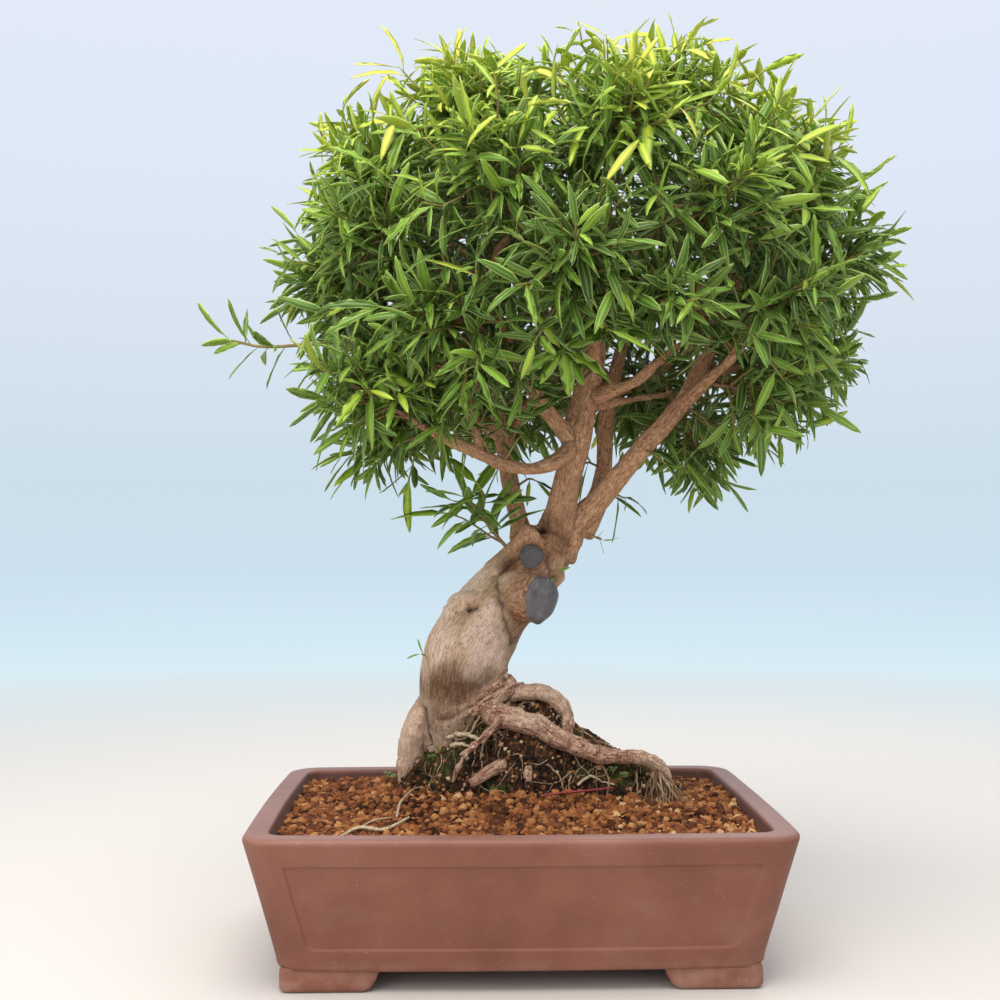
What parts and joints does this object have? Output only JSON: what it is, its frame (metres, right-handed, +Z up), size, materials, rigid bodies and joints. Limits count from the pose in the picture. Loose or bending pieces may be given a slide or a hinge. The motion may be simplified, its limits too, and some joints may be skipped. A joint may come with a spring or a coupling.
{
  "type": "willow leaf fig bonsai",
  "caption": "Bonsai fig tree with a leaning trunk, exposed roots and a round crown of narrow leaves, planted in a rectangular footed tray of unglazed clay.",
  "frame": {"origin": "middle of the whole plant and tray's footprint box, on the surface that the tray's feet stand on", "axes": "+Z up; +X to the viewer's right along the tray's long side; +Y away from the viewer"},
  "size_m": [0.5442, 0.3872, 0.7107],
  "materials": {
    "stoneware": "matt unglazed",
    "mesh_plastic": "matt",
    "clay_grains": "rough baked clay",
    "dark_soil": "rough, crumbly",
    "bark": "bark",
    "cut_paste": "dried putty",
    "leaf_green": "half-gloss leaves"
  },
  "bodies": {
    "root": {"tray": "stoneware", "drain_mesh_left": "mesh_plastic", "drain_mesh_right": "mesh_plastic", "trunk_and_branches": "bark", "root_ball": "dark_soil", "grain_bed": "clay_grains", "cut_paste_lower": "cut_paste", "cut_paste_upper": "cut_paste", "lower_shoot": "leaf_green", "left_twig": "leaf_green", "base_shoot": "leaf_green", "crotch_shoot": "leaf_green", "spray_01": "leaf_green", "spray_02": "leaf_green", "spray_03": "leaf_green", "spray_04": "leaf_green", "spray_05": "leaf_green", "spray_06": "leaf_green", "spray_07": "leaf_green", "spray_08": "leaf_green", "spray_09": "leaf_green", "spray_10": "leaf_green", "spray_11": "leaf_green", "spray_12": "leaf_green", "spray_13": "leaf_green", "spray_14": "leaf_green", "spray_15": "leaf_green", "spray_16": "leaf_green", "spray_17": "leaf_green", "spray_18": "leaf_green", "spray_19": "leaf_green", "spray_20": "leaf_green", "spray_21": "leaf_green", "spray_22": "leaf_green", "spray_23": "leaf_green", "spray_24": "leaf_green", "spray_25": "leaf_green", "spray_26": "leaf_green", "spray_27": "leaf_green", "spray_28": "leaf_green", "spray_29": "leaf_green", "spray_30": "leaf_green", "spray_31": "leaf_green", "spray_32": "leaf_green", "spray_33": "leaf_green", "spray_34": "leaf_green", "spray_35": "leaf_green", "spray_36": "leaf_green"}
  },
  "joints": []
}
